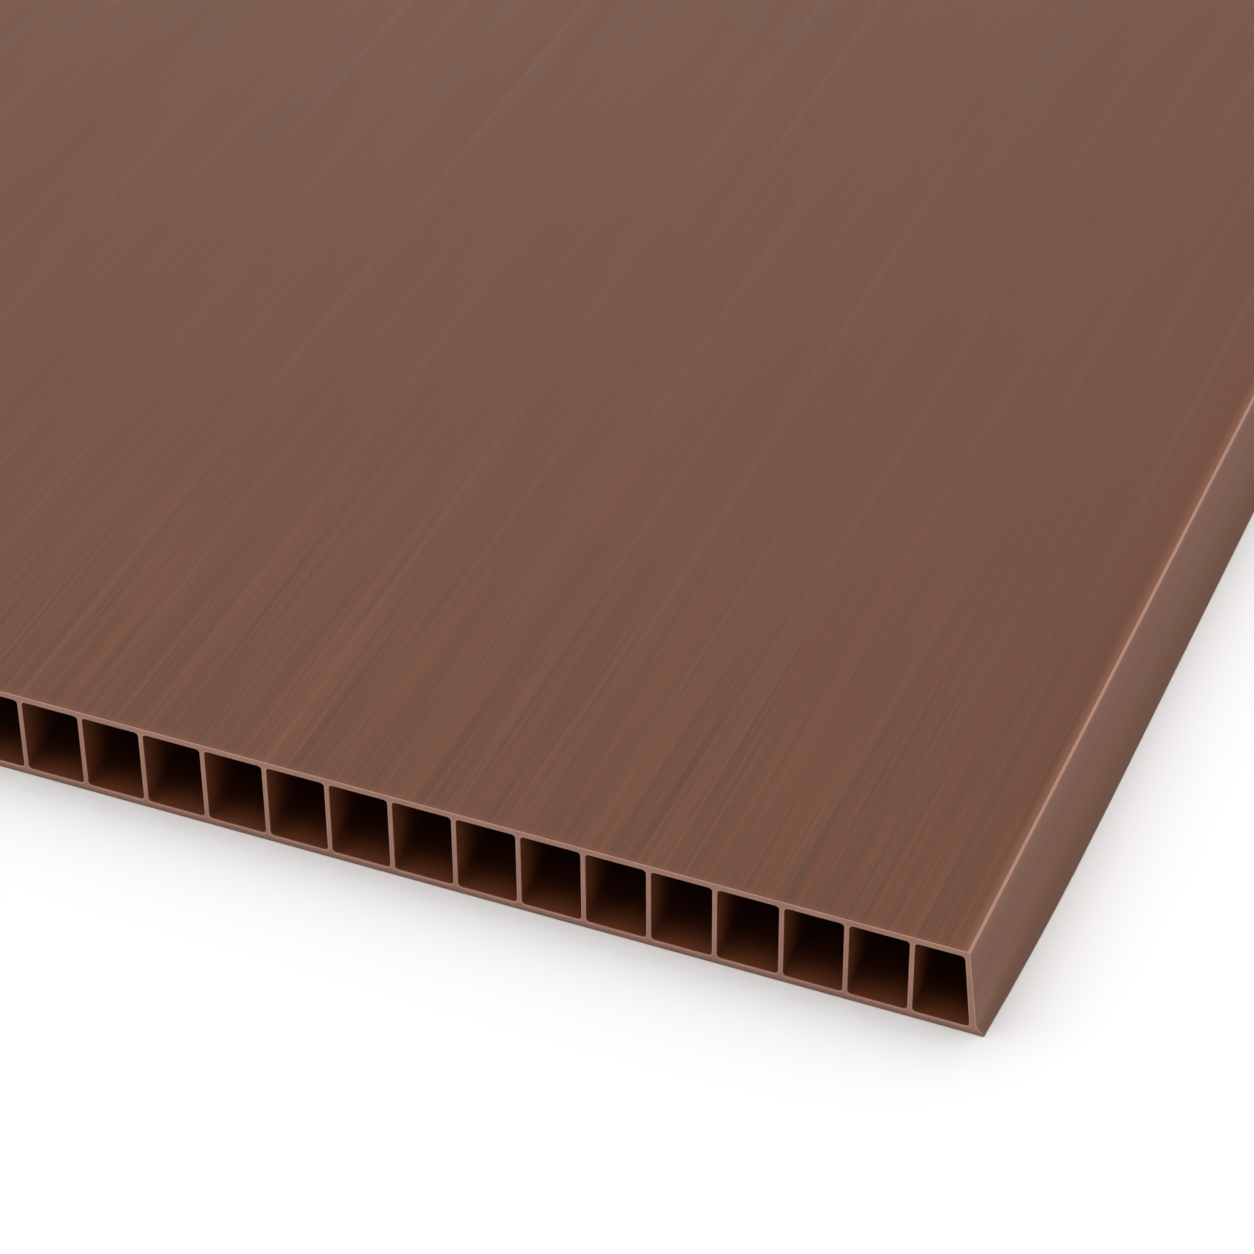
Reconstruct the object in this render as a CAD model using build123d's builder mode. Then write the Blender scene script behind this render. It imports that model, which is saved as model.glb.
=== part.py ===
from build123d import *

import os

# Corrugated plastic sheet: a twin-wall board extruded in one piece, with two skins joined
# by upright ribs. The flutes run along Y, and both ends are cut square.
# It lies flat on its bottom skin. The origin is in that face, at the middle of the sheet.
# Sizes are in millimetres.

# The cut sheet
sheet_length = 297.0  # along the flutes, from one cut end to the other
sheet_thickness = 6.0  # from the outer face of one skin to that of the other

# Skins and ribs
top_skin = 0.42
bottom_skin = 0.44
rib_thickness = 0.28
flute_corner = 0.25  # radius where a rib runs into a skin

# Flutes at the full pitch, and the slightly narrower ones next to each side
flute_pitch = 4.015
flute_count = 46
edge_pitch = 3.86
edge_count = 2

# The closed flute at each side, whose outer wall leans outwards towards the floor
closed_flute_ceiling = 2.93  # clear width under the top skin
closed_flute_floor = 3.40  # clear width over the bottom skin
side_wall_head = 0.26  # wall thickness at the top skin
side_wall_foot = 0.415  # wall thickness where the toe begins
shoulder_radius = 0.15  # rounding of the long top edge

# The toe that the bottom skin forms along each side
toe_height = 0.54  # where the side wall runs out into the toe
toe_reach = 0.98  # how far the toe stands out past the wall's foot
toe_tip = 0.12  # height of the toe's blunt edge
toe_blend = 0.40  # radius between the side wall and the toe

# Places worked out from the sizes above
flute_height = sheet_thickness - top_skin - bottom_skin
flute_floor = bottom_skin
flute_ceiling = flute_floor + flute_height
flute_middle = flute_floor + flute_height / 2
last_full_rib = flute_count * flute_pitch / 2
last_rib = last_full_rib + edge_count * edge_pitch
closed_flute_start = last_rib + rib_thickness / 2
shoulder = closed_flute_start + closed_flute_ceiling + side_wall_head
foot = closed_flute_start + closed_flute_floor + side_wall_foot
toe = foot + toe_reach
sheet_width = 2 * toe

# The closed flute on the right-hand side, in section
with BuildSketch() as closed_flute:
    with BuildLine():
        Polyline(
            (closed_flute_start, flute_floor),
            (closed_flute_start + closed_flute_floor, flute_floor),
            (closed_flute_start + closed_flute_ceiling, flute_ceiling),
            (closed_flute_start, flute_ceiling),
            close=True,
        )
    make_face()
    fillet(closed_flute.vertices(), flute_corner)

with BuildPart() as fluted_sheet:
    # The whole section, seen along the flutes
    with BuildSketch(Plane.XZ) as section:
        with BuildLine():
            Polyline(
                (0, 0),
                (toe, 0),
                (toe, toe_tip),
                (foot, toe_height),
                (shoulder, sheet_thickness),
                (0, sheet_thickness),
            )
            mirror(about=Plane.YZ)
        make_face()
        fillet(section.vertices().group_by(Axis.Y)[-1], shoulder_radius)
        fillet(section.vertices().filter_by_position(Axis.Y, toe_height, toe_height), toe_blend)

        with Locations((0, flute_middle)):
            with GridLocations(flute_pitch, 0, flute_count, 1):
                RectangleRounded(
                    flute_pitch - rib_thickness, flute_height, flute_corner, mode=Mode.SUBTRACT
                )
        for side in (-1, 1):
            middles = [last_full_rib + (number + 0.5) * edge_pitch for number in range(edge_count)]
            with Locations(*[(side * middle, flute_middle) for middle in middles]):
                RectangleRounded(
                    edge_pitch - rib_thickness, flute_height, flute_corner, mode=Mode.SUBTRACT
                )
        add(closed_flute.sketch, mode=Mode.SUBTRACT)
        mirror(closed_flute.sketch, about=Plane.YZ, mode=Mode.SUBTRACT)

    # The extruded board, cut square at both ends
    extrude(amount=sheet_length / 2, both=True)

fluted_sheet.part.label = "fluted_sheet"

os.makedirs("parts", exist_ok=True)
export_step(fluted_sheet.part, "parts/fluted_sheet.step")

flutes = flute_count + 2 * edge_count + 2
print(f"sheet {sheet_width:.2f} x {sheet_length:.2f} x {sheet_thickness:.2f} mm, {flutes} flutes")
print(f"solid volume {fluted_sheet.part.volume / 1000:.2f} cm3")
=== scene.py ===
"""Looks of a corrugated plastic sheet: a brown twin-wall board, extruded in one piece and cut square.

The board lies flat on a pale floor. X runs across the flutes, Y along them and Z up, as in the frame.
"""

import logging
import math
from contextlib import contextmanager
from dataclasses import dataclass, field
from enum import Enum
from typing import Callable, Iterator

import bmesh
import bpy
from mathutils import Matrix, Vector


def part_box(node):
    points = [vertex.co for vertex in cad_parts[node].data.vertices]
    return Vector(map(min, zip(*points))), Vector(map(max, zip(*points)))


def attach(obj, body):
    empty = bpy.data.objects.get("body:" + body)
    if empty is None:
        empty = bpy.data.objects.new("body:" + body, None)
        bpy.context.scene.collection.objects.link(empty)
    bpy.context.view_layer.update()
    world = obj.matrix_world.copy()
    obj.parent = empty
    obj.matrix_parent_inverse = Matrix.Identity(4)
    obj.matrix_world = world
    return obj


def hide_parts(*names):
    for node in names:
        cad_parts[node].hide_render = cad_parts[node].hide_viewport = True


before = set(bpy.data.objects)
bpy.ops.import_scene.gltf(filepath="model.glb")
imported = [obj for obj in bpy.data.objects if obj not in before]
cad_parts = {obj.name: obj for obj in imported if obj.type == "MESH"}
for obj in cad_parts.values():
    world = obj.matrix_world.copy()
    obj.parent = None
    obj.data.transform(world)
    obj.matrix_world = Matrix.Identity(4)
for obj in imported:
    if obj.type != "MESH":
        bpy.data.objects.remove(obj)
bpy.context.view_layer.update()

LOG = logging.getLogger("corrugated_sheet")

NODE = "fluted_sheet"
BODY = "root"
RIM_MARK = "rim"  # the mesh attribute that marks the rounded cut edges

# Meshes are drawn in millimetres and brought to metres once they are whole, because Blender's
# fill and bevel have fixed tolerances that a rounding of 0.05 mm would fall under in metres.
METRES_PER_DRAWN = 0.001
SAME_PLACE = 1e-4  # millimetres; points nearer than this are one point

# Where the middle of a Noise Texture's values lies, and the values between which a streak turns
# into a pale line; dark lines mirror them.
NOISE_MIDDLE = 0.5
LINE_BEGINS, LINE_IS_FULL = 0.59, 0.67

# Where a rib's soft line ends, as a multiple of half its width.
LINE_END = 1.6

# The sockets that a Mix node uses when it mixes colours.
MIX_SHARE, MIX_FIRST, MIX_SECOND, MIX_RESULT = 0, 6, 7, 2

Colour = tuple[float, float, float]
Point = tuple[float, float, float]
Socket = bpy.types.NodeSocket


class Wall(Enum):
    """The surfaces of the board that have a finish of their own."""

    SKIN = "board_skin"
    FLUTE = "flute_wall"
    CUT = "cut_end"


class Side(Enum):
    """A long side of the board, as the sign of its X."""

    LEFT = -1
    RIGHT = 1


@dataclass(frozen=True)
class Section:
    """The board's section in millimetres, with its overall sizes read from the frame.

    Attributes:
        half_width: from the middle of the board to the tip of its toe.
        half_length: from the middle of the board to a cut end.
        thickness: over both skins.
        top_skin: thickness of the upper skin.
        bottom_skin: thickness of the lower skin.
        rib: thickness of a rib.
        flute_corner: radius where a rib runs into a skin.
        pitch: width of a full flute with its rib.
        full_flutes: how many there are.
        edge_pitch: width of one of the narrower flutes near each side.
        edge_flutes: how many there are at each side.
        closed_ceiling: clear width of the closed flute at each side, under the upper skin.
        closed_floor: the same over the lower skin.
        wall_head: thickness of a side wall at the upper skin.
        wall_foot: thickness of a side wall where the toe begins.
        shoulder_radius: rounding of the long top edge.
        toe_height: height at which a side wall runs out into the toe.
        toe_tip: height of the toe's blunt edge.
        toe_blend: radius between a side wall and its toe.
    """

    half_width: float
    half_length: float
    thickness: float
    top_skin: float = 0.42
    bottom_skin: float = 0.44
    rib: float = 0.28
    flute_corner: float = 0.25
    pitch: float = 4.015
    full_flutes: int = 46
    edge_pitch: float = 3.86
    edge_flutes: int = 2
    closed_ceiling: float = 2.93
    closed_floor: float = 3.40
    wall_head: float = 0.26
    wall_foot: float = 0.415
    shoulder_radius: float = 0.15
    toe_height: float = 0.54
    toe_tip: float = 0.12
    toe_blend: float = 0.40

    @classmethod
    def from_frame(cls) -> "Section":
        """Reads the overall sizes from the frame's node.

        Returns:
            The section.
        """
        low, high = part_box(NODE)
        size = (high - low) / METRES_PER_DRAWN
        return cls(half_width=size.x / 2, half_length=size.y / 2, thickness=size.z)

    @property
    def floor(self) -> float:
        """Height of a flute's floor."""
        return self.bottom_skin

    @property
    def ceiling(self) -> float:
        """Height of a flute's ceiling."""
        return self.thickness - self.top_skin

    @property
    def clear_height(self) -> float:
        """Height of the clear space in a flute."""
        return self.ceiling - self.floor

    @property
    def flute_middle(self) -> float:
        """Height of a flute's middle."""
        return (self.ceiling + self.floor) / 2

    @property
    def last_full_rib(self) -> float:
        """X of the rib where the narrower flutes begin."""
        return self.full_flutes * self.pitch / 2

    @property
    def last_rib(self) -> float:
        """X of the rib beside the closed flute."""
        return self.last_full_rib + self.edge_flutes * self.edge_pitch

    @property
    def closed_start(self) -> float:
        """X at which the closed flute's clear space begins."""
        return self.last_rib + self.rib / 2

    @property
    def shoulder(self) -> float:
        """X of the long top edge, before its rounding."""
        return self.closed_start + self.closed_ceiling + self.wall_head

    @property
    def foot(self) -> float:
        """X at which the side wall runs out into the toe."""
        return self.closed_start + self.closed_floor + self.wall_foot


@dataclass(frozen=True)
class CutEdge:
    """The edge that the knife leaves round every wall at a cut end, in millimetres.

    Attributes:
        radius: rounding between the cut face and the wall behind it.
        rim: flat band beside the rounding, painted paler: partly stressed plastic and partly a painted
            highlight.
        fade: how far the rims' paler colour runs back along the wall.
        steps: faces in the rounding.
    """

    radius: float
    rim: float
    fade: float
    steps: int = 3

    @property
    def reach(self) -> float:
        """Width of the rounding and the rim together."""
        return self.radius + self.rim

    def rounding(self) -> list[tuple[float, float]]:
        """Divides the rounding into steps, from the wall forward.

        Returns:
            For each step, how far it goes inwards and how far forwards.
        """
        angles = [math.radians(90 * step / self.steps) for step in range(self.steps + 1)]
        return [
            (self.radius * (math.cos(a) - math.cos(b)), self.radius * (math.sin(b) - math.sin(a)))
            for a, b in zip(angles, angles[1:])
        ]


@dataclass(frozen=True)
class Toe:
    """How the toe is eased back towards a cut end, in millimetres.

    Attributes:
        reach_at_cut: how far the toe stands out past the wall's foot at the cut.
        run: distance from the cut over which it grows to its full reach.
        power: how steeply the easing begins.
    """

    reach_at_cut: float = 0.46
    run: float = 22.0
    power: float = 2.3

    def reach(self, full: float, depth: float) -> float:
        """Gives the toe's reach at a depth behind the cut, from its full reach further in."""
        left = max(0.0, 1 - depth / self.run)
        return full - (full - self.reach_at_cut) * left**self.power


def tangent_length(radius: float, turn: float) -> float:
    """Gives how far a rounding reaches along each side of a corner that turns by this angle."""
    return radius * math.tan(turn / 2)


def only(piece: bpy.types.Object) -> None:
    """Makes a piece the only selected object, and the active one.

    Args:
        piece: the object.
    """
    bpy.ops.object.select_all(action="DESELECT")
    piece.select_set(True)
    bpy.context.view_layer.objects.active = piece


@contextmanager
def editing(piece: bpy.types.Object, mode: str) -> Iterator[None]:
    """Opens a piece in edit mode, with nothing in it selected.

    Args:
        piece: the mesh object to edit.
        mode: what is selected there: VERT, EDGE or FACE.
    """
    only(piece)
    bpy.ops.object.mode_set(mode="EDIT")
    bpy.ops.mesh.select_mode(type=mode)
    bpy.ops.mesh.select_all(action="DESELECT")
    yield
    bpy.ops.object.mode_set(mode="OBJECT")


def choose(piece: bpy.types.Object, kind: str, test: Callable[[object], bool]) -> None:
    """Selects the parts of an open mesh that pass a test, and nothing else.

    Args:
        piece: the mesh object in edit mode.
        kind: verts, edges or faces.
        test: says whether a part is chosen.
    """
    bpy.ops.mesh.select_all(action="DESELECT")
    mesh = bmesh.from_edit_mesh(piece.data)
    for part in getattr(mesh, kind):
        if test(part):
            part.select_set(True)
    bmesh.update_edit_mesh(piece.data, loop_triangles=False, destructive=False)


def near(a: float, b: float) -> bool:
    """Says whether two drawn lengths are the same."""
    return abs(a - b) < SAME_PLACE


def choose_rim(piece: bpy.types.Object, y: float) -> None:
    """Selects the open edges of a mesh that lie at one Y."""
    choose(piece, "edges", lambda e: e.is_boundary and all(near(v.co.y, y) for v in e.verts))


def standing_plane(name: str, place: Point, width: float, height: float) -> bpy.types.Object:
    """Adds an upright plane that faces the cut end's outside, at its real size.

    Args:
        name: the new object's name.
        place: its middle, in millimetres.
        width: its size along X.
        height: its size along Z.

    Returns:
        The plane, with its place in its mesh.
    """
    bpy.ops.object.select_all(action="DESELECT")
    bpy.ops.mesh.primitive_plane_add(size=1, location=place, rotation=(math.pi / 2, 0, 0))
    plane = bpy.context.object
    plane.name = plane.data.name = name
    plane.scale = (width, height, 1)
    bpy.ops.object.transform_apply(location=True, rotation=True, scale=True)
    return plane


def apply_modifier(piece: bpy.types.Object, kind: str, **settings: object) -> None:
    """Adds a modifier to a piece and applies it.

    Args:
        piece: the mesh object.
        kind: the modifier's type.
        **settings: its settings.
    """
    only(piece)
    modifier = piece.modifiers.new(kind.lower(), kind)
    for setting, value in settings.items():
        setattr(modifier, setting, value)
    bpy.ops.object.modifier_apply(modifier=modifier.name)


@dataclass
class FluteRow:
    """The flutes: mouths with rounded, paler edges and the walls behind them, up to mid-length.

    Attributes:
        section: the board's section.
        edge: the cut edge round a mouth.
        corner_steps: faces in each of a mouth's corners.
    """

    section: Section
    edge: CutEdge
    corner_steps: int = 6

    @property
    def mouth_y(self) -> float:
        """Y of the cut end that is modelled; the other end mirrors it."""
        return -self.section.half_length

    def build(self) -> list[bpy.types.Object]:
        """Models one flute of each kind and copies it along the row.

        Returns:
            The row's objects, each with its own mesh.
        """
        section = self.section
        first_full = -section.last_full_rib + section.pitch / 2
        first_edge = section.last_full_rib + section.edge_pitch / 2
        row = [self.straight("full_flutes", first_full, section.pitch, section.full_flutes)]
        edge_flutes = self.straight(
            "edge_flutes_right", first_edge, section.edge_pitch, section.edge_flutes
        )
        for flute in (edge_flutes, self.closed("closed_flute_right")):
            row += [flute, self.other_side(flute)]
        return row

    def straight(self, name: str, middle: float, pitch: float, count: int) -> bpy.types.Object:
        """Models one upright flute and copies it sideways.

        Args:
            name: the object's name.
            middle: X of the first one's middle.
            pitch: each one's share of the width, rib included.
            count: how many there are.

        Returns:
            The flutes, as one object.
        """
        reach = self.edge.reach
        width = pitch - self.section.rib + 2 * reach
        height = self.section.clear_height + 2 * reach
        place = (middle, self.mouth_y, self.section.flute_middle)
        flutes = self.bored(standing_plane(name, place, width, height))
        apply_modifier(
            flutes,
            "ARRAY",
            count=count,
            use_relative_offset=False,
            use_constant_offset=True,
            constant_offset_displace=(pitch, 0, 0),
        )
        return flutes

    def closed(self, name: str) -> bpy.types.Object:
        """Models the flute behind the right-hand side wall, which leans outwards to the floor.

        Args:
            name: the object's name.

        Returns:
            The flute.
        """
        section, reach = self.section, self.edge.reach
        lean = math.atan((section.closed_floor - section.closed_ceiling) / section.clear_height)
        past_line = reach / math.cos(lean)
        past_corner = reach * math.tan(lean)
        left = section.closed_start - reach
        top = section.closed_start + section.closed_ceiling + past_line - past_corner
        bottom = section.closed_start + section.closed_floor + past_line + past_corner
        place = ((left + top) / 2, self.mouth_y, section.flute_middle)
        flute = standing_plane(name, place, top - left, section.clear_height + 2 * reach)
        with editing(flute, "VERT"):
            choose(flute, "verts", lambda v: v.co.x > place[0] and v.co.z < place[2])
            bpy.ops.transform.translate(value=(bottom - top, 0, 0))
        return self.bored(flute)

    def bored(self, flute: bpy.types.Object) -> bpy.types.Object:
        """Rounds a mouth's corners and cut edge, and takes its walls back to mid-length.

        Args:
            flute: a plane at the mouth, larger than the clear space by the cut edge.

        Returns:
            The same object.
        """
        edge = self.edge
        with editing(flute, "VERT"):
            bpy.ops.mesh.select_all(action="SELECT")
            corner = self.section.flute_corner + edge.reach
            bpy.ops.mesh.bevel(affect="VERTICES", offset=corner, segments=self.corner_steps)
            bpy.ops.mesh.select_mode(type="FACE")
            bpy.ops.mesh.select_all(action="SELECT")
            bpy.ops.mesh.inset(thickness=edge.rim)
            for inwards, forwards in reversed(edge.rounding()):
                bpy.ops.mesh.inset(thickness=forwards, depth=-inwards)
            for depth in (edge.fade, self.section.half_length - edge.radius - edge.fade):
                bpy.ops.mesh.extrude_region_move(TRANSFORM_OT_translate={"value": (0, depth, 0)})
            bpy.ops.mesh.delete(type="ONLY_FACE")
        return flute

    def other_side(self, flute: bpy.types.Object) -> bpy.types.Object:
        """Copies a right-hand flute to the left-hand side.

        Args:
            flute: the object to copy.

        Returns:
            The copy, with its own mesh.
        """
        only(flute)
        bpy.ops.object.duplicate()
        copy = bpy.context.object
        copy.name = copy.data.name = flute.name.replace("right", "left")
        with editing(copy, "FACE"):
            bpy.ops.mesh.select_all(action="SELECT")
            bpy.ops.transform.resize(value=(-1, 1, 1), center_override=(0, 0, 0))
            bpy.ops.mesh.flip_normals()
        return copy


@dataclass
class OuterSkin:
    """The board's outside: both skins, the leaning side walls and their toes, up to mid-length.

    Attributes:
        section: the board's section.
        edge: the cut edge round the outside.
        toe: how the toes are eased.
        shoulder_steps: faces in the rounding of a shoulder.
        blend_steps: faces in the blend above a toe.
        skin_parts: how many parts a skin has from side to side.
        stations: depths behind the cut at which the outside has a loop of points.
    """

    section: Section
    edge: CutEdge
    toe: Toe
    shoulder_steps: int = 5
    blend_steps: int = 6
    skin_parts: int = 104
    stations: tuple[float, ...] = (1.0, 2.25, 4.0, 6.0, 8.5, 11.5, 15.0, 22.0, 45.0, 90.0)

    @property
    def full_reach(self) -> float:
        """How far the toe stands out past the wall's foot, away from the cut ends."""
        return self.section.half_width - self.section.foot

    def build(self) -> bpy.types.Object:
        """Models the outside of the board from a cut end to mid-length.

        Returns:
            The outside, open at the cut face and at mid-length.
        """
        section, edge = self.section, self.edge
        place = (0, edge.radius - section.half_length, section.thickness / 2)
        skin = standing_plane(Wall.SKIN.value, place, 2 * section.shoulder, section.thickness)
        with editing(skin, "VERT"):
            self.draw_side_walls(skin)
            self.round_corners(skin)
            self.divide_skins(skin)
            self.round_cut_edge()
        self.extrude_walls(skin)
        return skin

    def draw_side_walls(self, skin: bpy.types.Object) -> None:
        """Gives the upright plane its leaning walls and toes, as they are at the cut.

        Args:
            skin: the plane, in edit mode.
        """
        section = self.section
        at_cut = section.foot + self.toe.reach(self.full_reach, self.edge.radius)
        targets = ((at_cut, 0.0), (at_cut, section.toe_tip), (section.foot, section.toe_height))
        choose(skin, "edges", lambda e: near(e.verts[0].co.x, e.verts[1].co.x))
        self.divide_outline(len(targets) - 1)
        for step, (x, z) in reversed(list(enumerate(targets))):
            height = step * section.thickness / len(targets)
            choose(skin, "verts", lambda v: near(v.co.z, height))
            spread = (x / section.shoulder, 1, 1)
            bpy.ops.transform.resize(value=spread, center_override=(0, 0, height))
            bpy.ops.transform.translate(value=(0, 0, z - height))

    def round_corners(self, skin: bpy.types.Object) -> None:
        """Rounds the shoulders and the blends above the toes.

        Args:
            skin: the outline, in edit mode.
        """
        section = self.section
        lean = math.atan2(section.foot - section.shoulder, section.thickness - section.toe_height)
        reach = self.toe.reach(self.full_reach, self.edge.radius)
        slope = math.atan2(section.toe_height - section.toe_tip, reach)
        corners = (
            (section.thickness, section.shoulder_radius, math.pi / 2 - lean, self.shoulder_steps),
            (section.toe_height, section.toe_blend, math.pi / 2 - lean - slope, self.blend_steps),
        )
        for height, radius, turn, steps in corners:
            choose(skin, "verts", lambda v: near(v.co.z, height))
            offset = tangent_length(radius, turn)
            bpy.ops.mesh.bevel(affect="VERTICES", offset=offset, segments=steps)

    def divide_skins(self, skin: bpy.types.Object) -> None:
        """Divides the long edges of the two skins into even parts.

        Args:
            skin: the outline, in edit mode.
        """
        bpy.ops.mesh.select_mode(type="EDGE")
        choose(skin, "edges", lambda e: e.calc_length() > self.section.last_rib)
        self.divide_outline(self.skin_parts - 1)

    def divide_outline(self, cuts: int) -> None:
        """Divides the chosen edges of the outline, which stays one face.

        Args:
            cuts: how many points each edge gets.
        """
        bpy.ops.mesh.subdivide(number_cuts=cuts)
        bpy.ops.mesh.select_all(action="SELECT")
        bpy.ops.mesh.dissolve_faces(use_verts=False)

    def round_cut_edge(self) -> None:
        """Rounds the outer cut edge, leaves the rim beside it and opens the cut face."""
        bpy.ops.mesh.select_mode(type="FACE")
        bpy.ops.mesh.select_all(action="SELECT")
        for inwards, forwards in self.edge.rounding():
            bpy.ops.mesh.inset(thickness=inwards, depth=forwards)
        bpy.ops.mesh.inset(thickness=self.edge.rim)
        bpy.ops.mesh.delete(type="ONLY_FACE")

    def extrude_walls(self, skin: bpy.types.Object) -> None:
        """Takes the outside back to mid-length, with the toe growing to its full reach.

        Args:
            skin: the outside's cut edge.
        """
        section, edge = self.section, self.edge
        depths = [edge.radius, edge.radius + edge.fade, *self.stations, section.half_length]
        with editing(skin, "EDGE"):
            choose_rim(skin, edge.radius - section.half_length)
            for before, depth in zip(depths, depths[1:]):
                move = {"value": (0, depth - before, 0)}
                bpy.ops.mesh.extrude_region_move(TRANSFORM_OT_translate=move)
                self.grow_toes(skin, before, depth)

    def grow_toes(self, skin: bpy.types.Object, before: float, depth: float) -> None:
        """Moves the toes' points outwards on the newest loop, and selects that loop again.

        Args:
            skin: the outside, in edit mode.
            before: depth of the loop in front, whose shape the newest one has.
            depth: depth of the newest loop.
        """
        section, full = self.section, self.full_reach
        growth = self.toe.reach(full, depth) / self.toe.reach(full, before)
        newest = depth - section.half_length
        for side in Side:
            foot = side.value * section.foot
            choose(skin, "verts", lambda v: near(v.co.y, newest) and side.value * v.co.x > section.foot)
            bpy.ops.transform.resize(value=(growth, 1, 1), center_override=(foot, 0, 0))
        choose_rim(skin, newest)


@dataclass
class Board:
    """The whole board: outside, flutes and cut ends as one closed mesh.

    Attributes:
        section: the board's section.
        mouth_edge: the cut edge round a flute's mouth.
        outer_edge: the cut edge round the outside.
        toe: how the toes are eased.
        smooth_angle: edges that turn less than this are shaded smooth, in radians.
    """

    section: Section
    mouth_edge: CutEdge = field(default_factory=lambda: CutEdge(radius=0.05, rim=0.06, fade=0.07))
    outer_edge: CutEdge = field(default_factory=lambda: CutEdge(radius=0.035, rim=0.03, fade=0.12))
    toe: Toe = field(default_factory=Toe)
    smooth_angle: float = math.radians(33)

    def build(self) -> bpy.types.Object:
        """Models the board.

        Returns:
            The board, in metres, with its place in its mesh.
        """
        outside = OuterSkin(self.section, self.outer_edge, self.toe).build()
        self.dress(outside, Wall.SKIN)
        flutes = FluteRow(self.section, self.mouth_edge).build()
        for flute in flutes:
            self.dress(flute, Wall.FLUTE)
        board = self.joined(outside, flutes)
        self.close_cut_end(board)
        self.mark_rims(board)
        self.mirror_to_far_end(board)
        self.bring_to_metres(board)
        return board

    def dress(self, piece: bpy.types.Object, wall: Wall) -> None:
        """Gives a piece the material slot of a wall."""
        known = bpy.data.materials.get(wall.value)
        piece.data.materials.append(known or bpy.data.materials.new(wall.value))

    def joined(self, outside: bpy.types.Object, flutes: list[bpy.types.Object]) -> bpy.types.Object:
        """Joins the flutes to the outside, and adds the slot of the cut ends.

        Args:
            outside: the outer skin.
            flutes: the row of flutes.

        Returns:
            The outside, which now holds them all.
        """
        only(outside)
        for flute in flutes:
            flute.select_set(True)
        bpy.ops.object.join()
        outside.name = outside.data.name = "corrugated_sheet"
        self.dress(outside, Wall.CUT)
        return outside

    def close_cut_end(self, board: bpy.types.Object) -> None:
        """Fills the cut face between the outer rim and the flutes' mouths, and dresses the cut edge.

        Args:
            board: the joined board.
        """
        cut = -self.section.half_length
        behind = cut + self.mouth_edge.radius + SAME_PLACE
        with editing(board, "EDGE"):
            choose_rim(board, cut)
            bpy.ops.mesh.fill(use_beauty=True)
            bpy.ops.mesh.select_mode(type="FACE")
            choose(board, "faces", lambda f: all(v.co.y < behind for v in f.verts))
            board.active_material_index = board.data.materials.find(Wall.CUT.value)
            bpy.ops.object.material_slot_assign()

    def mark_rims(self, board: bpy.types.Object) -> None:
        """Writes the rim attribute: 1 on the rounded cut edges, 0 on the cut face's core and the walls.

        Args:
            board: the board with its cut face filled.
        """
        cut = -self.section.half_length
        mesh = board.data
        # The core is filled with triangles, and the rims beside it have four corners.
        core = {
            corner
            for face in mesh.polygons
            if len(face.vertices) == 3 and all(near(mesh.vertices[v].co.y, cut) for v in face.vertices)
            for corner in face.vertices
        }
        rim = mesh.attributes.new(RIM_MARK, "FLOAT", "POINT")
        last = cut + self.mouth_edge.radius + SAME_PLACE
        marks = [float(v.co.y < last and v.index not in core) for v in mesh.vertices]
        rim.data.foreach_set("value", marks)

    def mirror_to_far_end(self, board: bpy.types.Object) -> None:
        """Mirrors the modelled half to the far cut end and turns every face outwards.

        Args:
            board: the half board.
        """
        apply_modifier(board, "MIRROR", use_axis=(False, True, False), merge_threshold=SAME_PLACE)
        with editing(board, "FACE"):
            bpy.ops.mesh.select_all(action="SELECT")
            bpy.ops.mesh.remove_doubles(threshold=SAME_PLACE)
            bpy.ops.mesh.normals_make_consistent(inside=False)

    def bring_to_metres(self, board: bpy.types.Object) -> None:
        """Brings the drawn mesh to metres and smooths its rounded edges.

        Args:
            board: the whole board.
        """
        only(board)
        board.scale = (METRES_PER_DRAWN,) * 3
        bpy.ops.object.transform_apply(location=True, rotation=True, scale=True)
        bpy.ops.object.shade_smooth_by_angle(angle=self.smooth_angle)


@dataclass(frozen=True)
class PhotoCamera:
    """A camera that sees the board as the photograph does.

    Attributes:
        place: where it stands, in metres.
        heading: how far it is turned left from looking along +Y, in degrees.
        down: how far it looks below the horizon, in degrees.
        roll: its turn about its own line of sight, in degrees.
        lens: focal length in millimetres.
        sensor: width of the sensor in millimetres.
        nearest: distance from which it sees things, in metres.
    """

    place: Point = (0.153736, -0.317632, 0.168938)
    heading: float = 22.655
    down: float = 38.559
    roll: float = -0.426
    lens: float = 124.863
    sensor: float = 36.0
    nearest: float = 0.01

    def build(self) -> None:
        """Adds the camera and makes it the scene's own."""
        camera = bpy.data.cameras.new("photo_camera")
        camera.sensor_width = self.sensor
        camera.lens = self.lens
        camera.clip_start = self.nearest
        eye = bpy.data.objects.new("photo_camera", camera)
        turn = (
            Matrix.Rotation(math.radians(self.heading), 4, "Z")
            @ Matrix.Rotation(math.radians(90 - self.down), 4, "X")
            @ Matrix.Rotation(math.radians(self.roll), 4, "Z")
        )
        eye.matrix_world = Matrix.Translation(self.place) @ turn
        bpy.context.scene.collection.objects.link(eye)
        bpy.context.scene.camera = eye


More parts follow.
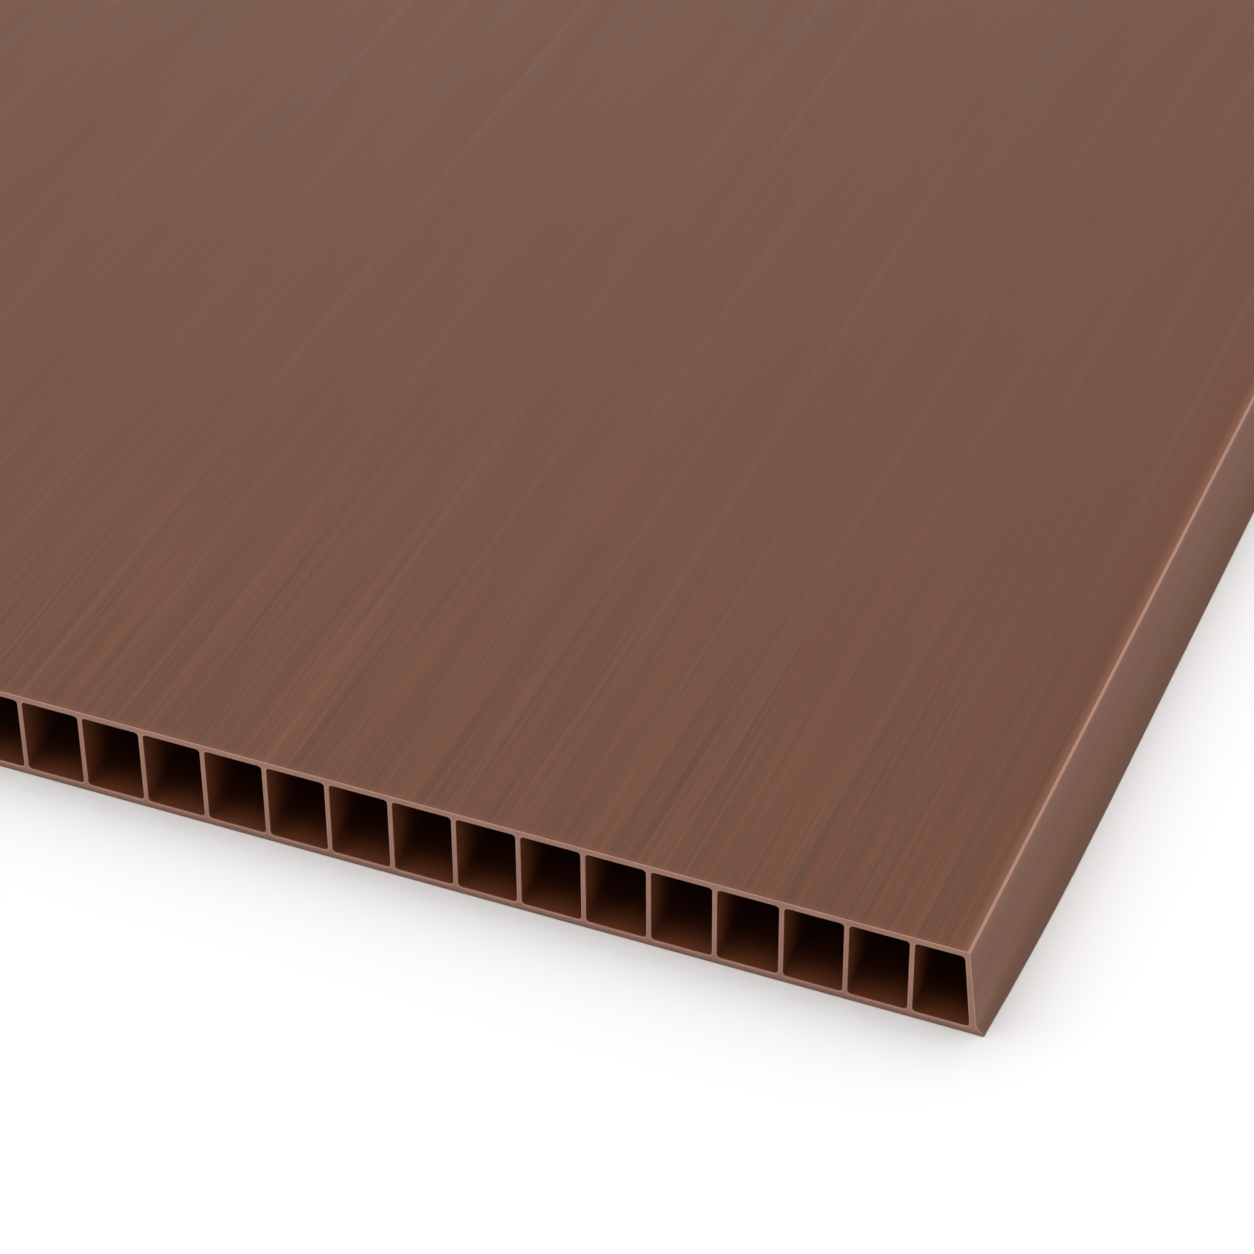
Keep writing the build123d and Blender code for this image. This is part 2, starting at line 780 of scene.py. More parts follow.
class Bench:
    """Adds nodes to a node tree and joins their sockets."""

    def __init__(self, tree: bpy.types.NodeTree) -> None:
        """Takes the tree to work in."""
        self.tree = tree

    @classmethod
    def of(cls, owner: bpy.types.Material | bpy.types.World) -> "Bench":
        """Opens the tree of a material or of a world."""
        owner.use_nodes = True
        return cls(owner.node_tree)

    @property
    def shader(self) -> bpy.types.Node:
        """The material's shader."""
        return self.tree.nodes["Principled BSDF"]

    def node(self, kind: str, **settings: object) -> bpy.types.Node:
        """Adds a node.

        Args:
            kind: the node's type, without the words Shader and Node.
            **settings: the node's own settings.

        Returns:
            The new node.
        """
        added = self.tree.nodes.new("ShaderNode" + kind)
        for setting, value in settings.items():
            setattr(added, setting, value)
        return added

    def join(self, value: object, socket: Socket) -> None:
        """Feeds a socket with another socket's output, or sets it to a number or vector.

        Args:
            value: the output, number or vector.
            socket: the input that it goes to.
        """
        if isinstance(value, Socket):
            self.tree.links.new(value, socket)
        else:
            socket.default_value = value

    def axes(self, point: Socket) -> list[Socket]:
        """Parts a point into its X, Y and Z.

        Args:
            point: the point's socket.

        Returns:
            The three sockets.
        """
        parted = self.node("SeparateXYZ")
        self.join(point, parted.inputs["Vector"])
        return list(parted.outputs)

    def noise(self, dimensions: str, **inputs: object) -> Socket:
        """Adds a Noise Texture.

        Args:
            dimensions: how many it has, such as 4D.
            **inputs: its inputs by name, in small letters.

        Returns:
            Its value.
        """
        added = self.node("TexNoise", noise_dimensions=dimensions)
        for name, value in inputs.items():
            self.join(value, added.inputs[name.capitalize()])
        return added.outputs[0]

    def maths(self, operation: str, *values: object) -> Socket:
        """Adds a Math node.

        Args:
            operation: what it works out.
            *values: its inputs, numbers or sockets.

        Returns:
            Its result.
        """
        added = self.node("Math", operation=operation)
        for value, socket in zip(values, added.inputs):
            self.join(value, socket)
        return added.outputs["Value"]

    def ramp(
        self, value: object, low: float, high: float, to_low: float = 0.0, to_high: float = 1.0
    ) -> Socket:
        """Maps a value smoothly from one range to another, held at the ends.

        Args:
            value: the input.
            low: the input at which the result begins to change.
            high: the input at which it stops.
            to_low: the result at low.
            to_high: the result at high.

        Returns:
            The result's socket.
        """
        added = self.node("MapRange", interpolation_type="SMOOTHSTEP")
        ends = {"From Min": low, "From Max": high, "To Min": to_low, "To Max": to_high}
        for name, number in ends.items():
            added.inputs[name].default_value = number
        self.join(value, added.inputs["Value"])
        return added.outputs["Result"]

    def mixed(self, share: object, first: object, second: object, blend: str = "MIX") -> Socket:
        """Mixes two colours.

        Args:
            share: how much of the second one.
            first: a colour or a socket.
            second: a colour or a socket.
            blend: how they are mixed.

        Returns:
            The mixed colour.
        """
        added = self.node("Mix", data_type="RGBA", blend_type=blend, clamp_factor=True)
        self.join(share, added.inputs[MIX_SHARE])
        for colour, place in ((first, MIX_FIRST), (second, MIX_SECOND)):
            self.join(colour if isinstance(colour, Socket) else (*colour, 1.0), added.inputs[place])
        return added.outputs[MIX_RESULT]

    def swing(self, value: Socket, reach: object) -> Socket:
        """Turns a noise's value into a factor that swings round 1, as far as reach says."""
        return self.maths("MULTIPLY_ADD", self.maths("SUBTRACT", value, NOISE_MIDDLE), reach, 1.0)

    def shaded(self, colour: object, factor: object) -> Socket:
        """Multiplies a colour by a factor.

        Args:
            colour: a colour or a socket.
            factor: a number or a socket.

        Returns:
            The darker or paler colour.
        """
        grey = self.node("CombineColor")
        for socket in grey.inputs[:3]:
            self.join(factor, socket)
        return self.mixed(1.0, colour, grey.outputs[0], "MULTIPLY")

    def paint(self, colour: Socket, roughness: object, specular: float) -> None:
        """Gives the material's shader its colour and its shine.

        Args:
            colour: the colour.
            roughness: how matt it is, a number or a socket.
            specular: how strongly it mirrors the light.
        """
        inputs = {"Base Color": colour, "Roughness": roughness, "Specular IOR Level": specular}
        for name, value in inputs.items():
            self.join(value, self.shader.inputs[name])

    def effect(self, group: bpy.types.NodeTree, **values: object) -> bpy.types.Node:
        """Places an effect group with its own values.

        Args:
            group: the group's tree.
            **values: its inputs by name, with low lines for spaces.

        Returns:
            The group node.
        """
        added = self.node("Group")
        added.node_tree = group
        for name, value in values.items():
            self.join(value, added.inputs[name.replace("_", " ").capitalize()])
        return added


def effect_group(
    name: str, inputs: dict[str, float], outputs: list[str]
) -> tuple[Bench, dict[str, Socket], bpy.types.Node]:
    """Starts an effect group, whose first input is always the point on the piece.

    Args:
        name: the group's name.
        inputs: the other inputs' names and starting numbers.
        outputs: the names of its outputs, all numbers.

    Returns:
        The bench to build on, the input sockets by name and the group's output node.
    """
    tree = bpy.data.node_groups.new(name, "ShaderNodeTree")
    tree.interface.new_socket(name="Place", in_out="INPUT", socket_type="NodeSocketVector")
    for title, start in inputs.items():
        socket = tree.interface.new_socket(name=title, in_out="INPUT", socket_type="NodeSocketFloat")
        socket.default_value = start
    for title in outputs:
        tree.interface.new_socket(name=title, in_out="OUTPUT", socket_type="NodeSocketFloat")
    given = tree.nodes.new("NodeGroupInput")
    result = tree.nodes.new("NodeGroupOutput")
    return Bench(tree), {socket.name: socket for socket in given.outputs}, result


@dataclass(frozen=True)
class Effects:
    """The effect groups that the finishes share.

    Attributes:
        die_lines: streaks along the flutes.
        rib_lines: lines over the ribs and along the flutes' middles.
        mottle: soft patches.
    """

    die_lines: bpy.types.NodeTree
    rib_lines: bpy.types.NodeTree
    mottle: bpy.types.NodeTree

    @classmethod
    def build(cls, section: Section) -> "Effects":
        """Builds each group once.

        Args:
            section: the board's section, which sets where the ribs are.

        Returns:
            The groups.
        """
        return cls(cls.draw_die_lines(), cls.draw_rib_lines(section), cls.draw_mottle())

    @staticmethod
    def draw_die_lines() -> bpy.types.NodeTree:
        """Draws fine streaks along Y, as a die leaves them; the sizes are in millimetres.

        Returns:
            The group. Streak is soft, 0 to 1; Line is 1 on thin pale lines and -1 on thin dark ones.
        """
        inputs = {"Width": 0.3, "Length": 40.0, "Wander": 0.15, "Seed": 0.0}
        bench, given, result = effect_group("die_lines", inputs, ["Streak", "Line"])
        axes = bench.axes(given["Place"])
        x, y, z = (bench.maths("MULTIPLY", axis, 1 / METRES_PER_DRAWN) for axis in axes)
        along = bench.maths("DIVIDE", y, given["Length"])
        drift = bench.noise("1D", w=bench.maths("ADD", along, given["Seed"]), scale=0.5, detail=1.0)
        sway = bench.maths("MULTIPLY", bench.maths("SUBTRACT", drift, NOISE_MIDDLE), given["Wander"])
        across = bench.maths("DIVIDE", bench.maths("ADD", x, sway), given["Width"])
        up = bench.maths("DIVIDE", z, given["Width"])
        spot = bench.node("CombineXYZ")
        for value, socket in zip((across, along, up), spot.inputs):
            bench.join(value, socket)
        grain = bench.noise(
            "4D", vector=spot.outputs[0], w=given["Seed"], scale=0.5, detail=2.0, roughness=0.45
        )
        bench.join(grain, result.inputs["Streak"])
        pale = bench.ramp(grain, LINE_BEGINS, LINE_IS_FULL)
        dark = bench.ramp(grain, 1 - LINE_IS_FULL, 1 - LINE_BEGINS, 1.0, 0.0)
        bench.join(bench.maths("SUBTRACT", pale, dark), result.inputs["Line"])
        return bench.tree

    @staticmethod
    def draw_rib_lines(section: Section) -> bpy.types.NodeTree:
        """Draws the ribs as they read through a skin.

        Args:
            section: where the ribs are.

        Returns:
            The group, whose outputs are 1 along each rib and along each flute's middle.
        """
        inputs = {"Rib width": 0.45, "Flute width": 0.2}
        bench, given, result = effect_group("rib_lines", inputs, ["Rib", "Flute"])
        x = bench.axes(given["Place"])[0]
        out = bench.maths("ABSOLUTE", bench.maths("MULTIPLY", x, 1 / METRES_PER_DRAWN))
        inner = bench.maths("DIVIDE", bench.maths("MINIMUM", out, section.last_full_rib), section.pitch)
        beyond = bench.maths("MAXIMUM", bench.maths("SUBTRACT", out, section.last_full_rib), 0.0)
        count = bench.maths("ADD", inner, bench.maths("DIVIDE", beyond, section.edge_pitch))
        half_flute = 0.5
        to_rib = bench.maths("PINGPONG", count, half_flute)
        from_rib = bench.maths("MULTIPLY", to_rib, section.pitch)
        to_middle = bench.maths("SUBTRACT", half_flute, to_rib)
        from_middle = bench.maths("MULTIPLY", to_middle, section.pitch)
        for distance, name in ((from_rib, "Rib"), (from_middle, "Flute")):
            doubled = bench.maths("MULTIPLY", distance, 2.0)
            share = bench.maths("DIVIDE", doubled, given[name + " width"])
            bench.join(bench.ramp(share, 0.0, LINE_END, 1.0, 0.0), result.inputs[name])
        return bench.tree

    @staticmethod
    def draw_mottle() -> bpy.types.NodeTree:
        """Draws soft uneven patches; Size is in millimetres.

        Returns:
            The group.
        """
        bench, given, result = effect_group("mottle", {"Size": 12.0, "Seed": 0.0}, ["Patch"])
        scaled = bench.node("VectorMath", operation="SCALE")
        bench.join(given["Place"], scaled.inputs[0])
        per_size = bench.maths("DIVIDE", 1 / METRES_PER_DRAWN, given["Size"])
        bench.join(per_size, scaled.inputs["Scale"])
        cloud = bench.noise("4D", vector=scaled.outputs[0], w=given["Seed"], scale=1.0, detail=3.0)
        bench.join(cloud, result.inputs["Patch"])
        return bench.tree


@dataclass(frozen=True)
class Canvas:
    """A wall's material, open for its finish, with the shaded point in millimetres.

    The point is the same for both long sides and both cut ends.

    Attributes:
        bench: the bench on the material's tree.
        effects: the shared effect groups.
        section: the board's section.
        place: the shaded point itself, in metres.
        out: its distance from the board's middle, across the flutes.
        depth: its distance behind the nearer cut end.
        up: its height above the floor.
    """

    bench: Bench
    effects: Effects
    section: Section
    place: Socket
    out: Socket
    depth: Socket
    up: Socket

    @classmethod
    def of(cls, wall: Wall, effects: Effects, section: Section) -> "Canvas":
        """Opens a wall's material.

        Args:
            wall: whose material it is.
            effects: the shared effect groups.
            section: the board's section.

        Returns:
            The canvas.
        """
        bench = Bench.of(bpy.data.materials[wall.value])
        place = bench.node("TexCoord").outputs["Object"]
        x, y, z = (bench.maths("DIVIDE", axis, METRES_PER_DRAWN) for axis in bench.axes(place))
        depth = bench.maths("SUBTRACT", section.half_length, bench.maths("ABSOLUTE", y))
        out = bench.maths("ABSOLUTE", x)
        return cls(bench, effects, section, place, out, depth, up=z)

    def rimmed(self, colour: object, rim: Colour) -> Socket:
        """Lays the rim's colour over the rounded cut edges."""
        mark = self.bench.node("Attribute", attribute_name=RIM_MARK)
        return self.bench.mixed(mark.outputs["Fac"], colour, rim)


@dataclass(frozen=True)
class Fade:
    """A share that changes smoothly while a distance or another value grows.

    Attributes:
        start: the value at which it begins to change.
        stop: the value at which it stops.
        before: the share up to the start.
        after: the share past the stop.
    """

    start: float
    stop: float
    before: float = 1.0
    after: float = 0.0

    def over(self, bench: Bench, value: Socket) -> Socket:
        """Gives the share at a value."""
        return bench.ramp(value, self.start, self.stop, self.before, self.after)


@dataclass(frozen=True)
class Patches:
    """Soft uneven patches.

    Attributes:
        size: their size in millimetres.
        seed: which pattern it is.
        swing: how far the colour swings with them.
    """

    size: float
    seed: float
    swing: float

    def factor(self, canvas: Canvas) -> Socket:
        """Gives the factor by which they change the colour, round 1.

        Args:
            canvas: the wall's open material.

        Returns:
            The factor.
        """
        inputs = {"place": canvas.place, "size": self.size, "seed": self.seed}
        patch = canvas.bench.effect(canvas.effects.mottle, **inputs)
        return canvas.bench.swing(patch.outputs["Patch"], self.swing)


@dataclass(frozen=True)
class Streaks:
    """One set of streaks along the flutes, in millimetres.

    Attributes:
        width: their size across the flutes.
        length: their size along the flutes.
        wander: how far a streak strays sideways.
        seed: which pattern it is.
        swing: how far the colour swings with them.
        swing_at_cut: how much further it swings by a cut end.
    """

    width: float
    length: float
    wander: float
    seed: float
    swing: float = 0.0
    swing_at_cut: float = 0.0

    def draw(self, canvas: Canvas, output: str = "Streak") -> Socket:
        """Places the streaks.

        Args:
            canvas: the wall's open material.
            output: Streak for soft ones or Line for thin ones.

        Returns:
            The streaks' value.
        """
        inputs = {"place": canvas.place, "width": self.width, "length": self.length}
        inputs |= {"wander": self.wander, "seed": self.seed}
        return canvas.bench.effect(canvas.effects.die_lines, **inputs).outputs[output]


@dataclass(frozen=True)
class SkinFinish:
    """The outer skins and side walls: satin brown plastic with streaks along the flutes.

    Widths, heights and distances are in millimetres.

    Attributes:
        base: the plastic's own colour.
        side: its colour on the side walls, paler than the top's: painted light for the light that falls
            less on upright walls.
        foot: its colour where the side walls run out into the toes, paler: painted light against the
            shade where the wall meets the toe.
        toe: its colour at the toes' tips, paler and greyer: painted light against the shade by the
            floor.
        rib_tint: colour over the ribs, which read through faintly paler.
        flute_tint: colour along the middle of each flute.
        glow_tint: colour beside the long edge, where light comes through the corner.
        edge_highlight_tint: colour of the long top edge: a painted highlight.
        low_painted_light_tint: pale tint laid low on the side walls: painted light against the shade
            near the floor.
        streaks: soft streaks, from broad to fine.
        glossy_streaks: which of them show in the gloss and the surface too.
        lines: thin crisp lines.
        rib_breaks: where the ribs read through and where they don't.
        patches: soft patches over the whole skin.
        lively: how much livelier the streaks are, by the depth behind the cut.
        rib_width: width of a rib's line.
        rib_share: how much a rib shows, by its breaks.
        middle_width: width of a flute's line.
        middle_share: how much a flute's line shows by the cut.
        side_blend: half the width over which the top's colour turns into the side's.
        low_painted_light_to: height up to which that painted light reaches on a side wall.
        low_painted_light_share: how much of that painted light a side wall takes at its foot.
        footing: how much a side wall takes the foot's painted light, by its height.
        toe_to: height below which the toe's painted light sets in.
        side_reach: how far a millimetre down the side counts, beside one over the top.
        glow: share of the glow, by the distance from the long edge.
        glow_at_cut: share of the same tint by the depth behind the cut.
        painted_highlight: share of the painted highlight, by the distance from the long edge.
        roughness: how satin the skin is.
        gloss_swing: how far the streaks swing that.
        relief: how strongly the streaks show in the surface.
        relief_depth: how deep they are.
        specular: how strongly it mirrors the light.
    """

    base: Colour = (0.144, 0.0422, 0.0112)
    # Painted light: the side walls are paler than the top, for the light that falls less on them.
    side: Colour = (0.203, 0.0550, 0.0140)
    # Painted light: the foot, the toe and the pale tint low on the side walls are paler than the
    # plastic, against the shade near the floor.
    foot: Colour = (0.286, 0.132, 0.084)
    toe: Colour = (0.207, 0.0965, 0.0565)
    rib_tint: Colour = (0.161, 0.0540, 0.0210)
    flute_tint: Colour = (0.119, 0.0340, 0.0110)
    glow_tint: Colour = (0.260, 0.091, 0.042)
    # Painted highlight along the long top edge.
    edge_highlight_tint: Colour = (0.54, 0.293, 0.220)
    low_painted_light_tint: Colour = (0.62, 0.47, 0.38)
    streaks: tuple[Streaks, ...] = (
        Streaks(width=2.2, length=70.0, wander=0.8, seed=3.0, swing=0.13),
        Streaks(width=0.42, length=28.0, wander=0.3, seed=11.0, swing=0.12, swing_at_cut=0.02),
        Streaks(width=0.16, length=11.0, wander=0.2, seed=47.0, swing=0.14, swing_at_cut=0.16),
        Streaks(width=0.058, length=8.0, wander=0.1, seed=61.0, swing=0.0, swing_at_cut=1.20),
    )
    glossy_streaks: int = 1
    lines: Streaks = Streaks(
        width=0.30, length=20.0, wander=0.3, seed=23.0, swing=0.022, swing_at_cut=0.080
    )
    rib_breaks: Streaks = Streaks(width=1.9, length=16.0, wander=0.4, seed=29.0)
    patches: Patches = Patches(size=14.0, seed=5.0, swing=0.10)
    lively: Fade = Fade(4.0, 44.0)
    rib_width: float = 0.5
    rib_share: Fade = Fade(0.35, 0.65, before=0.15, after=0.8)
    middle_width: float = 0.22
    middle_share: float = 0.6
    side_blend: float = 0.05
    low_painted_light_to: float = 3.4
    low_painted_light_share: float = 0.125
    footing: Fade = Fade(0.8, 1.5)
    toe_to: float = 0.75
    side_reach: float = 0.8
    glow: Fade = Fade(0.05, 0.85, before=0.85)
    glow_at_cut: Fade = Fade(0.1, 0.6, before=0.22)
    painted_highlight: Fade = Fade(0.07, 0.17)
    roughness: float = 0.52
    gloss_swing: float = 0.16
    relief: float = 0.25
    relief_depth: float = 0.01
    specular: float = 0.45

    def apply(self, canvas: Canvas) -> None:
        """Builds the finish in the skin's material.

        Args:
            canvas: that material, opened.
        """
        bench = canvas.bench
        near_cut = self.lively.over(bench, canvas.depth)
        shoulder = canvas.section.shoulder
        on_side = bench.ramp(canvas.out, shoulder - self.side_blend, shoulder + self.side_blend)
        # The side walls take their paler colour here: painted light.
        colour = bench.mixed(on_side, self.with_ribs(canvas, near_cut), self.side)
        drawn = [streaks.draw(canvas) for streaks in self.streaks]
        colour = bench.shaded(colour, self.shade(canvas, drawn, near_cut))
        # Painted light low on the side walls, against the shade near the floor.
        for share, tint in self.painted_light_low_down(canvas):
            colour = bench.mixed(bench.maths("MULTIPLY", on_side, share), colour, tint)
        # Painted light along the long top edge: the glow beside it and the painted highlight on it.
        for share, tint in self.long_edge(canvas):
            colour = bench.mixed(share, colour, tint)
        fine = drawn[self.glossy_streaks]
        off_middle = bench.maths("SUBTRACT", fine, NOISE_MIDDLE)
        roughness = bench.maths("MULTIPLY_ADD", off_middle, self.gloss_swing, self.roughness)
        bench.paint(colour, roughness, self.specular)
        self.emboss(bench, fine)

    def with_ribs(self, canvas: Canvas, near_cut: Socket) -> Socket:
        """Lets the ribs read through the skin, in places, and the flutes' middles near a cut end.

        Args:
            canvas: the skin's open material.
            near_cut: 1 by a cut end and 0 further in.

        Returns:
            The plastic's own colour with the ribs.
        """
        bench = canvas.bench
        inputs = {"place": canvas.place, "rib_width": self.rib_width, "flute_width": self.middle_width}
        lines = bench.effect(canvas.effects.rib_lines, **inputs).outputs
        breaks = self.rib_breaks.draw(canvas)
        rib_share = bench.maths("MULTIPLY", lines["Rib"], self.rib_share.over(bench, breaks))
        by_cut = bench.maths("MULTIPLY", near_cut, self.middle_share)
        middle_share = bench.maths("MULTIPLY", lines["Flute"], by_cut)
        colour = bench.mixed(rib_share, self.base, self.rib_tint)
        return bench.mixed(middle_share, colour, self.flute_tint)

    def shade(self, canvas: Canvas, drawn: list[Socket], near_cut: Socket) -> Socket:
        """Gives the factor by which streaks, thin lines and soft patches change the colour.

        Args:
            canvas: the skin's open material.
            drawn: the soft streaks, in the order of their sizes.
            near_cut: 1 by a cut end and 0 further in.

        Returns:
            The factor, round 1.
        """
        bench = canvas.bench
        factor = self.patches.factor(canvas)
        for streaks, streak in zip(self.streaks, drawn):
            swing = bench.maths("MULTIPLY_ADD", near_cut, streaks.swing_at_cut, streaks.swing)
            factor = bench.maths("MULTIPLY", factor, bench.swing(streak, swing))
        swing = bench.maths("MULTIPLY_ADD", near_cut, self.lines.swing_at_cut, self.lines.swing)
        line = bench.maths("MULTIPLY_ADD", self.lines.draw(canvas, "Line"), swing, 1.0)
        return bench.maths("MULTIPLY", factor, line)

    def painted_light_low_down(self, canvas: Canvas) -> list[tuple[Socket, Colour]]:
        """Gives the paler tints painted low on a side wall, painted light against the shade near the
        floor, with the share of each.

        Args:
            canvas: the skin's open material.

        Returns:
            The shares and tints, in the order in which they are laid over the wall.
        """
        section = canvas.section
        low_painted_light = Fade(section.toe_height, self.low_painted_light_to, before=self.low_painted_light_share)
        toe = Fade(section.toe_tip, self.toe_to)
        tints = ((low_painted_light, self.low_painted_light_tint), (self.footing, self.foot), (toe, self.toe))
        return [(fade.over(canvas.bench, canvas.up), tint) for fade, tint in tints]

    def long_edge(self, canvas: Canvas) -> list[tuple[Socket, Colour]]:
        """Gives the tints of the glow beside the long top edge and of the painted highlight on the edge
        itself.

        Args:
            canvas: the skin's open material.

        Returns:
            The shares and tints, in the order in which they are laid over the skin.
        """
        bench = canvas.bench
        inwards = bench.maths("SUBTRACT", canvas.section.shoulder, canvas.out)
        below = bench.maths("SUBTRACT", canvas.section.thickness, canvas.up)
        downwards = bench.maths("MULTIPLY", below, self.side_reach)
        from_edge = bench.maths("MAXIMUM", inwards, downwards)
        by_edge = self.glow.over(bench, from_edge)
        by_cut = self.glow_at_cut.over(bench, canvas.depth)
        glow = bench.maths("MAXIMUM", by_edge, by_cut)
        return [(glow, self.glow_tint), (self.painted_highlight.over(bench, from_edge), self.edge_highlight_tint)]

    def emboss(self, bench: Bench, fine: Socket) -> None:
        """Lets the fine streaks show in the skin's surface.

        Args:
            bench: the bench on the skin's material.
            fine: the fine streaks.
        """
        bump = bench.node("Bump")
        bump.inputs["Strength"].default_value = self.relief
        bump.inputs["Distance"].default_value = self.relief_depth * METRES_PER_DRAWN
        bench.join(fine, bump.inputs["Height"])
        bench.join(bump.outputs["Normal"], bench.shader.inputs["Normal"])


@dataclass(frozen=True)
class FluteFinish:
    """The flutes' inner walls: the same plastic, darkened further in from the mouths by painted shade.

    Attributes:
        mouth: colour at a mouth, before the painted shade sets in.
        inside: colour further in: painted shade, darker than at the mouth.
        rim: colour of the rounded cut edge: paler, partly stressed plastic and partly a painted
            highlight.
        painted_shade: how far the painted shade has set in, by the depth behind the cut in millimetres.
        streaks: streaks along the walls.
        roughness: how satin the walls are.
        specular: how strongly they mirror the light.
    """

    mouth: Colour = (0.180, 0.0520, 0.0200)
    # Painted shade: the flutes' colour further in.
    inside: Colour = (0.078, 0.0176, 0.0045)
    # Partly a painted highlight: the paler rim colour.
    rim: Colour = (0.54, 0.280, 0.205)
    painted_shade: Fade = Fade(0.2, 3.2, before=0.0, after=1.0)
    streaks: Streaks = Streaks(width=0.35, length=35.0, wander=0.2, seed=17.0, swing=0.3)
    roughness: float = 0.48
    specular: float = 0.25

    def apply(self, canvas: Canvas) -> None:
        """Builds the finish in the flutes' material.

        Args:
            canvas: that material, opened.
        """
        bench = canvas.bench
        # Painted shade: the walls darken with the depth behind the cut.
        colour = bench.mixed(self.painted_shade.over(bench, canvas.depth), self.mouth, self.inside)
        streak = self.streaks.draw(canvas)
        colour = bench.shaded(colour, bench.swing(streak, self.streaks.swing))
        bench.paint(canvas.rimmed(colour, self.rim), self.roughness, self.specular)


@dataclass(frozen=True)
class CutFinish:
    """The cut ends: matt, paler plastic, palest along the rims, partly stressed plastic and partly a
    painted highlight, and darker at the bottom with painted shade.

    Attributes:
        core: colour of the cut face.
        rim: colour of its rims: partly stressed plastic and partly a painted highlight.
        low_shade: share of the colour kept where the bottom skin meets the floor: painted shade.
        patches: soft patches on the cut.
        roughness: how matt the cut is.
        specular: how strongly it mirrors the light.
    """

    core: Colour = (0.388, 0.193, 0.137)
    # Partly a painted highlight: the paler rim colour.
    rim: Colour = (0.54, 0.280, 0.205)
    low_shade: float = 0.58
    patches: Patches = Patches(size=1.6, seed=2.0, swing=0.35)
    roughness: float = 0.6
    specular: float = 0.5

    def apply(self, canvas: Canvas) -> None:
        """Builds the finish in the cut ends' material.

        Args:
            canvas: that material, opened.
        """
        bench = canvas.bench
        # The rims are painted paler: partly stressed plastic, partly a painted highlight.
        colour = bench.shaded(canvas.rimmed(self.core, self.rim), self.patches.factor(canvas))
        # Painted shade: the cut face darkens towards the floor.
        shade = Fade(0.0, canvas.section.bottom_skin, before=self.low_shade, after=1.0)
        colour = bench.shaded(colour, shade.over(bench, canvas.up))
        bench.paint(colour, self.roughness, self.specular)


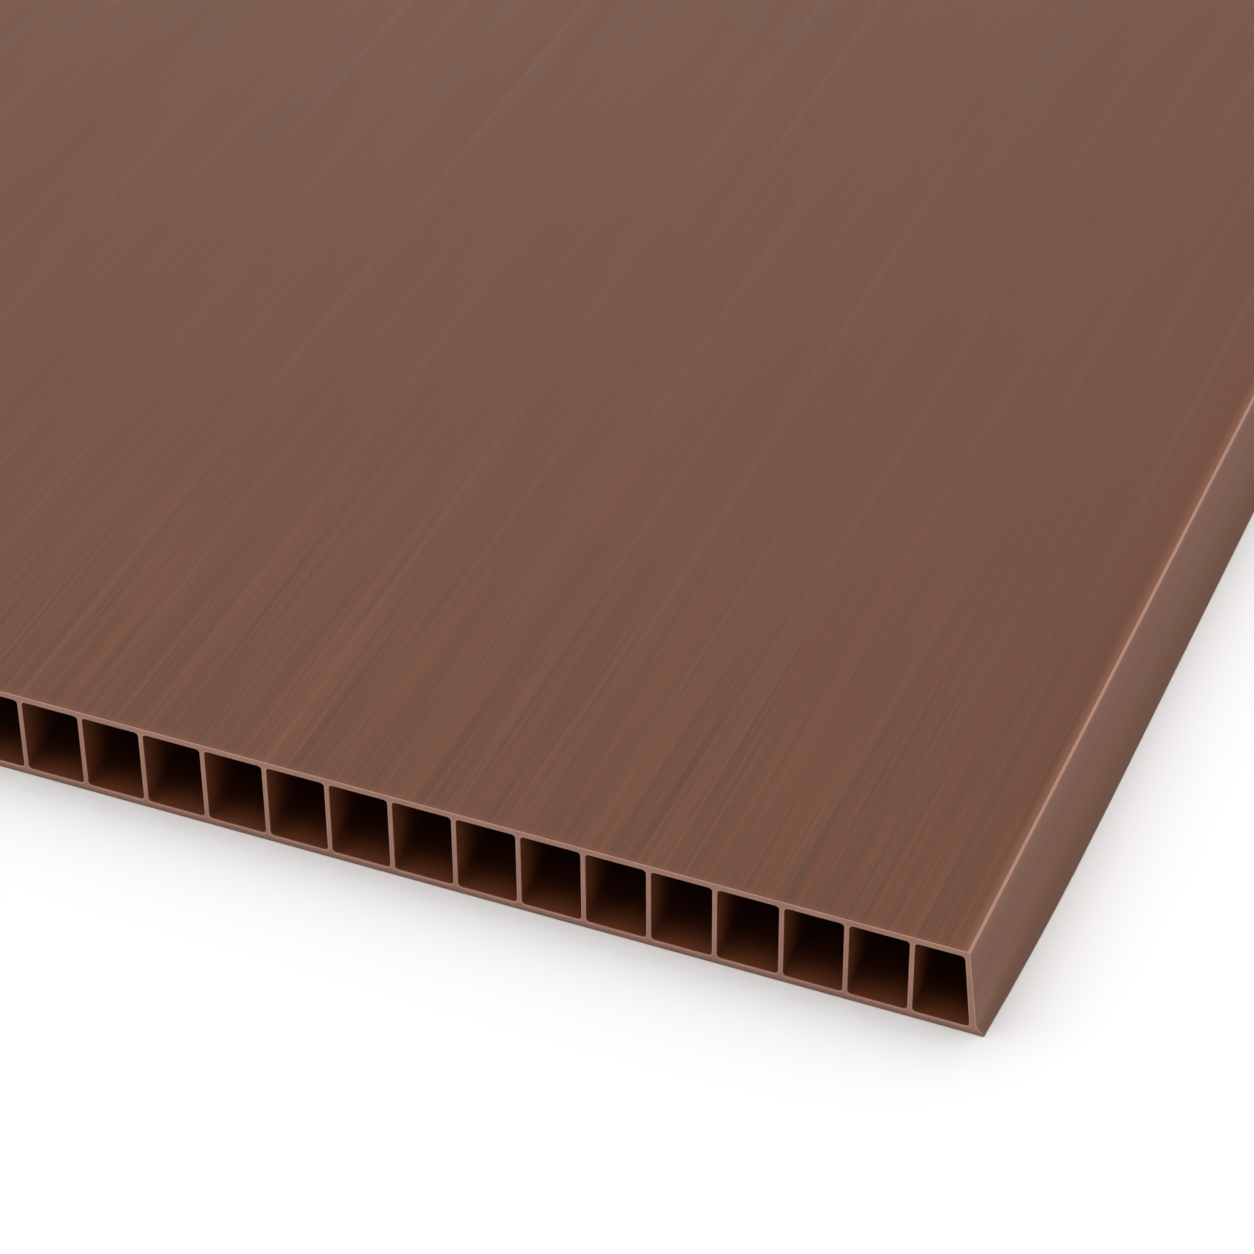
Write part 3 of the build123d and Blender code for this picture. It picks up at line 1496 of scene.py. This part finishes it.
@dataclass(frozen=True)
class Studio:
    """A pale floor under soft, even light.

    Attributes:
        floor_size: side of the floor, in metres.
        floor_gap: how far the floor lies below the board, in metres.
        floor_colour: the floor as it lights the board.
        seen_colour: the floor as the camera, mirrors and glass see it.
        sky_strength: strength of the white light from all round.
        overhead_strength: how much stronger it is at its brightest place overhead.
        overhead_lean: how far left of straight overhead that place is, in degrees.
        overhead_spread: how tightly the light gathers there; higher is tighter.
        glow_strength: how much stronger the light is at its brightest place low down.
        glow_turn: how far left of +Y that place is, in degrees.
        glow_height: its height above the horizon, in degrees.
        glow_spread: how tightly the light gathers there.
    """

    floor_size: float = 8.0
    floor_gap: float = 0.00002
    floor_colour: Colour = (0.90, 0.90, 0.90)
    seen_colour: Colour = (1.10, 1.10, 1.10)
    sky_strength: float = 0.485
    overhead_strength: float = 2.34
    overhead_lean: float = 14.0
    overhead_spread: float = 8.0
    glow_strength: float = 3.1
    glow_turn: float = 24.0
    glow_height: float = 5.0
    glow_spread: float = 26.0

    def build(self) -> None:
        """Adds the floor and the light from all round."""
        self.lay_floor()
        self.light_all_round()
        bpy.context.scene.view_settings.view_transform = "Standard"

    def seen(self, bench: Bench) -> Socket:
        """Tells looks at the floor from the light it throws on the board.

        Args:
            bench: the bench of the floor's tree.

        Returns:
            1 for rays from the camera, a mirror or glass, and 0 for the rest.
        """
        path = bench.node("LightPath")
        direct = bench.maths("MAXIMUM", path.outputs["Is Camera Ray"], path.outputs["Is Glossy Ray"])
        return bench.maths("MAXIMUM", direct, path.outputs["Is Transmission Ray"])

    def lay_floor(self) -> None:
        """Lays the floor just under the board."""
        bpy.ops.object.select_all(action="DESELECT")
        bpy.ops.mesh.primitive_plane_add(size=self.floor_size, location=(0, 0, -self.floor_gap))
        floor = bpy.context.object
        floor.name = floor.data.name = "pale_floor"
        material = bpy.data.materials.new("pale_floor")
        bench = Bench.of(material)
        colour = bench.mixed(self.seen(bench), self.floor_colour, self.seen_colour)
        bench.paint(colour, roughness=1.0, specular=0.0)
        floor.data.materials.append(material)

    def light_all_round(self) -> None:
        """Lights the scene from the whole sky, brighter overhead and low at the back and left."""
        world = bpy.data.worlds.new("soft_studio")
        bench = Bench.of(world)
        turn, height = math.radians(self.glow_turn), math.radians(self.glow_height)
        level = math.cos(height)
        low = (-math.sin(turn) * level, math.cos(turn) * level, math.sin(height))
        lean = math.radians(self.overhead_lean)
        high = (-math.sin(lean), 0.0, math.cos(lean))
        overhead = self.towards(bench, high, self.overhead_spread, self.overhead_strength)
        glow = self.towards(bench, low, self.glow_spread, self.glow_strength)
        strength = bench.maths("ADD", bench.maths("ADD", overhead, glow), self.sky_strength)
        sky = bench.tree.nodes["Background"]
        sky.inputs["Color"].default_value = (1.0, 1.0, 1.0, 1.0)
        bench.join(strength, sky.inputs["Strength"])
        bpy.context.scene.world = world

    def towards(self, bench: Bench, way: Point, spread: float, strength: float) -> Socket:
        """Gives light that gathers round one direction.

        Args:
            bench: the bench of the world's tree.
            way: the direction, of length 1.
            spread: how tightly the light gathers there.
            strength: its strength in that direction.

        Returns:
            The strength of the light from where a ray looks.
        """
        facing = bench.node("VectorMath", operation="DOT_PRODUCT")
        bench.join(bench.node("TexCoord").outputs["Generated"], facing.inputs[0])
        facing.inputs[1].default_value = way
        closeness = bench.maths("POWER", bench.maths("MAXIMUM", facing.outputs["Value"], 0.0), spread)
        return bench.maths("MULTIPLY", closeness, strength)


def main() -> None:
    """Builds and dresses the board, then the studio and the camera."""
    logging.basicConfig(level=logging.INFO, format="%(name)s: %(message)s")
    bpy.ops.object.select_all(action="DESELECT")
    section = Section.from_frame()
    board = Board(section).build()
    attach(board, BODY)
    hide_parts(NODE)
    LOG.info("%s: %d faces", board.name, len(board.data.polygons))
    effects = Effects.build(section)
    finishes = {Wall.SKIN: SkinFinish(), Wall.FLUTE: FluteFinish(), Wall.CUT: CutFinish()}
    for wall, finish in finishes.items():
        finish.apply(Canvas.of(wall, effects, section))
        LOG.info("finish on %s", wall.value)
    Studio().build()
    PhotoCamera().build()


if __name__ == "__main__":
    main()
